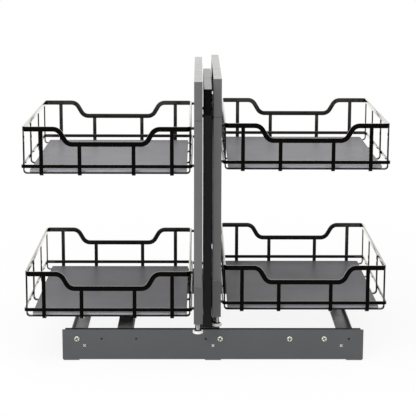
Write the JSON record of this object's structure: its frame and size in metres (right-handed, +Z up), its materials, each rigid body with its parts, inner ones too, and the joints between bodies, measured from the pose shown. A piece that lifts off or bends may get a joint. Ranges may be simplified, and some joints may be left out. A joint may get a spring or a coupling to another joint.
{
  "type": "blind corner organizer",
  "caption": "Blind corner cabinet organizer: floor base with lateral slides, a sliding carriage with a centre post, and pull-out frames carrying wire baskets with solid floors.",
  "frame": {"origin": "middle of the four floor screws, on the cabinet floor", "axes": "+X along the base to the right, +Y into the cabinet away from the user, +Z up"},
  "size_m": [0.8935, 0.6098, 0.6965],
  "materials": {
    "base_paint": "fine-textured dark grey powder coat",
    "frame_paint": "satin mid-grey powder coat",
    "post_paint": "satin black coat",
    "slide_black": "smooth black zinc",
    "black_nickel": "polished black nickel",
    "floor_board": "grey melamine face",
    "bright_zinc": "bright zinc",
    "white_plastic": "moulded white",
    "black_rubber": "moulded black"
  },
  "bodies": {
    "base": {"base_front_plate": "base_paint", "base_rear_plate": "base_paint", "base_left_bar": "base_paint", "base_centre_bar": "base_paint", "base_right_bar": "base_paint", "front_rail": "slide_black", "rear_rail": "slide_black", "rail_screws": "bright_zinc", "star_fixings": "bright_zinc", "rail_stops": "black_rubber"},
    "carriage": {"front_runner": "slide_black", "rear_runner": "slide_black", "left_crossbar": "post_paint", "post_crossbar": "post_paint", "carriage_bolts": "bright_zinc", "post_front_upright": "post_paint", "post_rear_upright": "post_paint", "post_top_beam": "post_paint", "post_bottom_beam": "post_paint", "post_cap": "post_paint", "post_foot_bracket": "post_paint", "left_slide_outers": "slide_black", "right_slide_outers": "slide_black"},
    "left_middle": {"left_slide_middles": "slide_black"},
    "right_middle": {"right_slide_middles": "slide_black"},
    "left_unit": {"left_slide_inners": "slide_black", "left_front_upright": "frame_paint", "left_rear_upright": "frame_paint", "left_top_beam": "frame_paint", "left_bottom_beam": "frame_paint", "left_top_corner": "frame_paint", "left_bottom_corner": "frame_paint", "left_upper_basket": "black_nickel", "left_lower_basket": "black_nickel", "left_upper_panel": "floor_board", "left_lower_panel": "floor_board", "left_studs": "post_paint"},
    "left_foot": {"left_foot_stem": "bright_zinc", "left_foot_pad": "white_plastic"},
    "right_unit": {"right_slide_inners": "slide_black", "right_front_upright": "frame_paint", "right_rear_upright": "frame_paint", "right_top_beam": "frame_paint", "right_bottom_beam": "frame_paint", "right_top_corner": "frame_paint", "right_bottom_corner": "frame_paint", "right_upper_basket": "black_nickel", "right_lower_basket": "black_nickel", "right_upper_panel": "floor_board", "right_lower_panel": "floor_board", "right_studs": "post_paint"},
    "right_foot": {"right_foot_stem": "bright_zinc", "right_foot_pad": "white_plastic"}
  },
  "joints": [
    {"name": "carriage_slide", "type": "slide", "parent": "base", "child": "carriage", "axis": [1, 0, 0], "range_m": [-0.11, 0.325]},
    {"name": "left_unit_slide", "type": "slide", "parent": "carriage", "child": "left_unit", "axis": [0, -1, 0], "range_m": [-0.057, 0.463]},
    {"name": "right_unit_slide", "type": "slide", "parent": "carriage", "child": "right_unit", "axis": [0, -1, 0], "range_m": [0, 0.52]},
    {"name": "left_middle_slide", "type": "slide", "parent": "carriage", "child": "left_middle", "axis": [0, -1, 0], "range_m": [-0.0285, 0.2315]},
    {"name": "right_middle_slide", "type": "slide", "parent": "carriage", "child": "right_middle", "axis": [0, -1, 0], "range_m": [0, 0.26]},
    {"name": "left_foot_turn", "type": "hinge", "parent": "left_unit", "child": "left_foot", "pos_m": [-0.037, -0.312, 0.11], "axis": [0, 0, 1], "continuous": true},
    {"name": "right_foot_turn", "type": "hinge", "parent": "right_unit", "child": "right_foot", "pos_m": [0.009, -0.255, 0.11], "axis": [0, 0, 1], "continuous": true}
  ],
  "couplings": [
    {"joint": "left_middle_slide", "follows": "left_unit_slide", "ratio": 0.5},
    {"joint": "right_middle_slide", "follows": "right_unit_slide", "ratio": 0.5}
  ]
}
